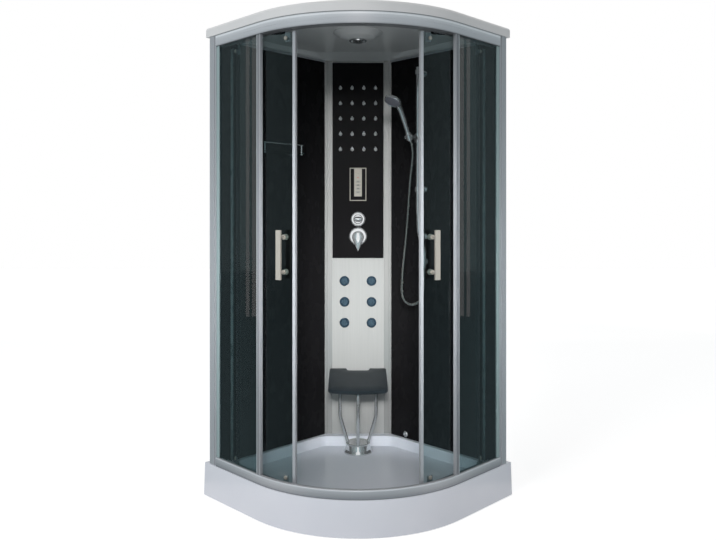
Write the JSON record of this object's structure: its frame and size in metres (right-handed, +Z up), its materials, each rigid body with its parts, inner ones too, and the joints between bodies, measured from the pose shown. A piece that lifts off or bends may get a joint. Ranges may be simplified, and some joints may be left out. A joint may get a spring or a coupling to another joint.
{
  "type": "steam shower cabin",
  "caption": "Quarter-round steam shower cabin with curved sliding glass doors, a black rear column with body jets and controls, a hand shower, a shelf, a roof and a stool.",
  "frame": {"origin": "on the floor under the middle of the bounding box", "axes": "+X to the right seen from the room, +Y to the back corner, +Z up"},
  "size_m": [1.4142, 1.1614, 2.14],
  "materials": {
    "tray_acrylic": "gloss acrylic",
    "galvanised_steel": "galvanised",
    "grey_plastic": "moulded",
    "chrome": "polished",
    "black_panel": "gloss black",
    "aluminium": "satin anodised",
    "tinted_glass": "tinted",
    "seal_plastic": "translucent",
    "silver_panel": "silver satin",
    "nozzle_silver": "silver",
    "dark_jet": "dark grey",
    "brass": "cast",
    "steel_pipe": "plain",
    "white_case": "powder coat",
    "grey_button": "satin",
    "silver_plastic": "silver",
    "steel_hose": "spiral wound",
    "clear_glass": "clear",
    "white_roof": "gloss white",
    "clear_dome": "gloss",
    "fan_plastic": "moulded",
    "slate_pad": "satin",
    "wheel_plastic": "nylon"
  },
  "bodies": {
    "cabin": {"shower_tray": "tray_acrylic", "tray_frame": "galvanised_steel", "waste_trap": "grey_plastic", "right_wall": "black_panel", "left_wall": "black_panel", "wall_profiles": "aluminium", "column_panel": "silver_panel", "column_glass": "black_panel", "waterfall_nozzles": "nozzle_silver", "body_jets": "dark_jet", "control_panel": "silver_panel", "control_unit": "grey_plastic", "valve_plates": "chrome", "valve_block": "brass", "service_pipes": "steel_pipe", "steam_generator": "white_case", "bottom_rail": "aluminium", "top_rail": "aluminium", "fixed_glass": "tinted_glass", "fixed_edge_strips": "aluminium", "riser_rail": "chrome", "wall_fittings": "chrome", "shower_hose": "steel_hose", "shelf_glass": "clear_glass", "shelf_fittings": "chrome", "roof_canopy": "white_roof", "ceiling_dome": "clear_dome", "rain_head": "chrome", "ceiling_rims": "dark_jet", "ceiling_grilles": "silver_plastic", "stool_seat": "slate_pad", "stool_frame": "chrome"},
    "right_door": {"right_door_pane": "tinted_glass", "right_door_strip": "aluminium", "right_door_seal": "seal_plastic", "right_door_handle": "chrome"},
    "left_door": {"left_door_pane": "tinted_glass", "left_door_strip": "aluminium", "left_door_seal": "seal_plastic", "left_door_handle": "chrome"},
    "right_front_lower_wheel": {"right_front_lower_wheel": "wheel_plastic"},
    "left_front_lower_wheel": {"left_front_lower_wheel": "wheel_plastic"},
    "right_front_upper_wheel": {"right_front_upper_wheel": "wheel_plastic"},
    "left_front_upper_wheel": {"left_front_upper_wheel": "wheel_plastic"},
    "right_rear_lower_wheel": {"right_rear_lower_wheel": "wheel_plastic"},
    "left_rear_lower_wheel": {"left_rear_lower_wheel": "wheel_plastic"},
    "right_rear_upper_wheel": {"right_rear_upper_wheel": "wheel_plastic"},
    "left_rear_upper_wheel": {"left_rear_upper_wheel": "wheel_plastic"},
    "diverter_knob": {"diverter_knob": "chrome"},
    "mixer_cap": {"mixer_cap": "chrome"},
    "mixer_lever": {"mixer_lever": "chrome"},
    "rail_slider": {"rail_slider": "chrome"},
    "fan_impeller": {"fan_impeller": "fan_plastic"},
    "waste_cover": {"waste_cover": "chrome"},
    "button_1": {"button_1": "grey_button"},
    "button_2": {"button_2": "grey_button"},
    "button_3": {"button_3": "grey_button"},
    "button_4": {"button_4": "grey_button"},
    "hand_shower": {"handset_holder": "chrome", "handset": "silver_plastic"}
  },
  "joints": [
    {"name": "right_door_slide", "type": "hinge", "parent": "cabin", "child": "right_door", "pos_m": [-0.0394, 0.17277, 1.1], "axis": [0, 0, 1], "range_deg": [-21.5, 0]},
    {"name": "right_front_lower_wheel_spin", "type": "hinge", "parent": "right_door", "child": "right_front_lower_wheel", "pos_m": [0.29438, -0.43677, 0.1683], "axis": [0.4462, -0.8949, 0], "range_deg": [0, 1246.1]},
    {"name": "right_front_upper_wheel_spin", "type": "hinge", "parent": "right_door", "child": "right_front_upper_wheel", "pos_m": [0.30018, -0.4484, 2.0623], "axis": [0.4462, -0.8949, 0], "range_deg": [0, 1384.7]},
    {"name": "right_rear_lower_wheel_spin", "type": "hinge", "parent": "right_door", "child": "right_rear_lower_wheel", "pos_m": [0.53595, -0.19938, 0.1683], "axis": [0.887, -0.4617, 0], "range_deg": [0, 1228.7]},
    {"name": "right_rear_upper_wheel_spin", "type": "hinge", "parent": "right_door", "child": "right_rear_upper_wheel", "pos_m": [0.54748, -0.20538, 2.0623], "axis": [0.887, -0.4617, 0], "range_deg": [0, 1365.6]},
    {"name": "left_door_slide", "type": "hinge", "parent": "cabin", "child": "left_door", "pos_m": [0.0394, 0.17277, 1.1], "axis": [0, 0, 1], "range_deg": [0, 21.5]},
    {"name": "left_front_lower_wheel_spin", "type": "hinge", "parent": "left_door", "child": "left_front_lower_wheel", "pos_m": [-0.29438, -0.43677, 0.1683], "axis": [-0.4462, -0.8949, 0], "range_deg": [-1246.1, 0]},
    {"name": "left_front_upper_wheel_spin", "type": "hinge", "parent": "left_door", "child": "left_front_upper_wheel", "pos_m": [-0.30018, -0.4484, 2.0623], "axis": [-0.4462, -0.8949, 0], "range_deg": [-1384.7, 0]},
    {"name": "left_rear_lower_wheel_spin", "type": "hinge", "parent": "left_door", "child": "left_rear_lower_wheel", "pos_m": [-0.53595, -0.19938, 0.1683], "axis": [-0.887, -0.4617, 0], "range_deg": [-1228.7, 0]},
    {"name": "left_rear_upper_wheel_spin", "type": "hinge", "parent": "left_door", "child": "left_rear_upper_wheel", "pos_m": [-0.54748, -0.20538, 2.0623], "axis": [-0.887, -0.4617, 0], "range_deg": [-1365.6, 0]},
    {"name": "diverter_turn", "type": "hinge", "parent": "cabin", "child": "diverter_knob", "pos_m": [0, 0.34277, 1.264], "axis": [0, -1, 0], "range_deg": [-90, 90]},
    {"name": "mixer_temperature", "type": "hinge", "parent": "cabin", "child": "mixer_cap", "pos_m": [0, 0.34277, 1.174], "axis": [0, -1, 0], "range_deg": [-45, 45]},
    {"name": "mixer_flow", "type": "hinge", "parent": "mixer_cap", "child": "mixer_lever", "pos_m": [0, 0.33999, 1.174], "axis": [-1, 0, 0], "range_deg": [0, 22]},
    {"name": "slider_rise", "type": "slide", "parent": "cabin", "child": "rail_slider", "axis": [0, 0, 1], "range_m": [-0.215, 0.23], "deforming": ["shower_hose"]},
    {"name": "holder_tilt", "type": "hinge", "parent": "rail_slider", "child": "hand_shower", "pos_m": [0.25208, 0.10666, 1.668], "axis": [0.7071, -0.7071, 0], "range_deg": [-15, 15]},
    {"name": "fan_spin", "type": "hinge", "parent": "cabin", "child": "fan_impeller", "pos_m": [0.372, -0.19423, 2.122], "axis": [0, 0, 1], "continuous": true},
    {"name": "button_1_press", "type": "slide", "parent": "cabin", "child": "button_1", "axis": [0, 1, 0], "range_m": [0, 0.0005], "stiffness_N_per_m": 800},
    {"name": "button_2_press", "type": "slide", "parent": "cabin", "child": "button_2", "axis": [0, 1, 0], "range_m": [0, 0.0005], "stiffness_N_per_m": 800},
    {"name": "button_3_press", "type": "slide", "parent": "cabin", "child": "button_3", "axis": [0, 1, 0], "range_m": [0, 0.0005], "stiffness_N_per_m": 800},
    {"name": "button_4_press", "type": "slide", "parent": "cabin", "child": "button_4", "axis": [0, 1, 0], "range_m": [0, 0.0005], "stiffness_N_per_m": 800},
    {"name": "waste_cover_lift", "type": "slide", "parent": "cabin", "child": "waste_cover", "axis": [0, 0, 1], "range_m": [0, 0.04]}
  ],
  "couplings": [
    {"joint": "right_front_lower_wheel_spin", "follows": "right_door_slide", "ratio": -57.912},
    {"joint": "right_front_upper_wheel_spin", "follows": "right_door_slide", "ratio": -64.358},
    {"joint": "right_rear_lower_wheel_spin", "follows": "right_door_slide", "ratio": -57.102},
    {"joint": "right_rear_upper_wheel_spin", "follows": "right_door_slide", "ratio": -63.469},
    {"joint": "left_front_lower_wheel_spin", "follows": "left_door_slide", "ratio": -57.912},
    {"joint": "left_front_upper_wheel_spin", "follows": "left_door_slide", "ratio": -64.358},
    {"joint": "left_rear_lower_wheel_spin", "follows": "left_door_slide", "ratio": -57.102},
    {"joint": "left_rear_upper_wheel_spin", "follows": "left_door_slide", "ratio": -63.469}
  ]
}
